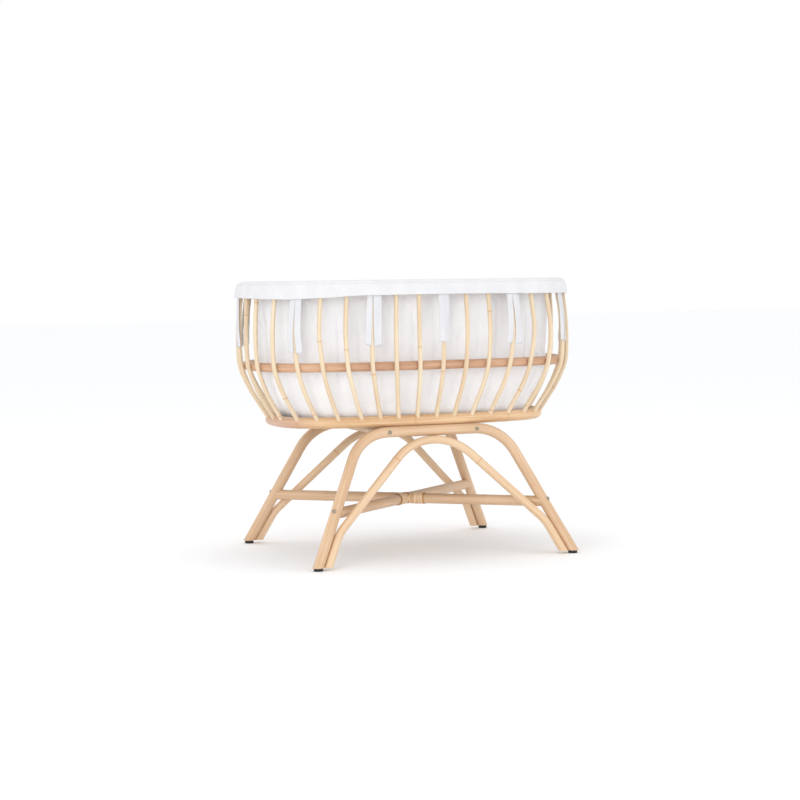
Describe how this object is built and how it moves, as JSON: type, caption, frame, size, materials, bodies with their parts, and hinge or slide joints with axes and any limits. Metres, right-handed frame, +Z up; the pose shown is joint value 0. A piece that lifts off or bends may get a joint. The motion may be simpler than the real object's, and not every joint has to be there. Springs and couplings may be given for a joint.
{
  "type": "bassinet on stand",
  "caption": "Oval rattan-cane bassinet with a white fabric liner and mattress, resting on a splayed bent-pole stand with arched ends and crossed stretchers.",
  "frame": {"origin": "on the floor under the middle of the stand", "axes": "+X along the basket's length, -Y towards the front, +Z up"},
  "size_m": [0.923, 0.614, 0.7345],
  "materials": {
    "leg_rattan": "lacquered rattan pole, satin",
    "arch_rattan": "lacquered rattan pole, satin",
    "ring_rattan": "lacquered rattan pole, satin",
    "dark_rattan": "darker rattan pole, satin",
    "cane_rattan": "straw-coloured rattan cane, glossy skin",
    "lashing_peel": "wrapped rattan peel",
    "dark_board": "thin board with a black backing cloth",
    "liner_fabric": "white cotton",
    "mattress_fabric": "white quilted cotton",
    "black_plastic": "matt",
    "steel": "zinc-plated"
  },
  "bodies": {
    "stand": {"front_leg_frame": "leg_rattan", "front_inner_arch": "arch_rattan", "front_left_glide": "black_plastic", "front_left_bar_screw": "steel", "front_right_glide": "black_plastic", "front_right_bar_screw": "steel", "back_leg_frame": "leg_rattan", "back_inner_arch": "arch_rattan", "back_left_glide": "black_plastic", "back_left_bar_screw": "steel", "back_right_glide": "black_plastic", "back_right_bar_screw": "steel", "left_cross_rail": "leg_rattan", "right_cross_rail": "leg_rattan", "upper_stretcher": "leg_rattan", "lower_stretcher": "leg_rattan", "left_lashing": "lashing_peel", "right_lashing": "lashing_peel"},
    "basket": {"base_ring": "ring_rattan", "mid_ring": "dark_rattan", "rim_ring": "dark_rattan", "floor_board": "dark_board", "liner": "liner_fabric", "cane_01": "cane_rattan", "cane_02": "cane_rattan", "cane_03": "cane_rattan", "cane_04": "cane_rattan", "cane_05": "cane_rattan", "cane_06": "cane_rattan", "cane_07": "cane_rattan", "cane_08": "cane_rattan", "cane_09": "cane_rattan", "cane_10": "cane_rattan", "cane_11": "cane_rattan", "cane_12": "cane_rattan", "cane_13": "cane_rattan", "cane_14": "cane_rattan", "cane_15": "cane_rattan", "cane_16": "cane_rattan", "cane_17": "cane_rattan", "cane_18": "cane_rattan", "cane_19": "cane_rattan", "cane_20": "cane_rattan", "cane_21": "cane_rattan", "cane_22": "cane_rattan", "cane_23": "cane_rattan", "cane_24": "cane_rattan", "cane_25": "cane_rattan", "cane_26": "cane_rattan", "cane_27": "cane_rattan", "cane_28": "cane_rattan", "cane_29": "cane_rattan", "cane_30": "cane_rattan", "cane_31": "cane_rattan", "cane_32": "cane_rattan", "cane_33": "cane_rattan", "cane_34": "cane_rattan", "cane_35": "cane_rattan", "cane_36": "cane_rattan"},
    "mattress": {"mattress": "mattress_fabric"}
  },
  "joints": [
    {"name": "basket_lift", "type": "slide", "parent": "stand", "child": "basket", "axis": [0, 0, 1], "range_m": [0, 0.3]},
    {"name": "mattress_lift", "type": "slide", "parent": "basket", "child": "mattress", "axis": [0, 0, 1], "range_m": [0, 0.4]}
  ]
}
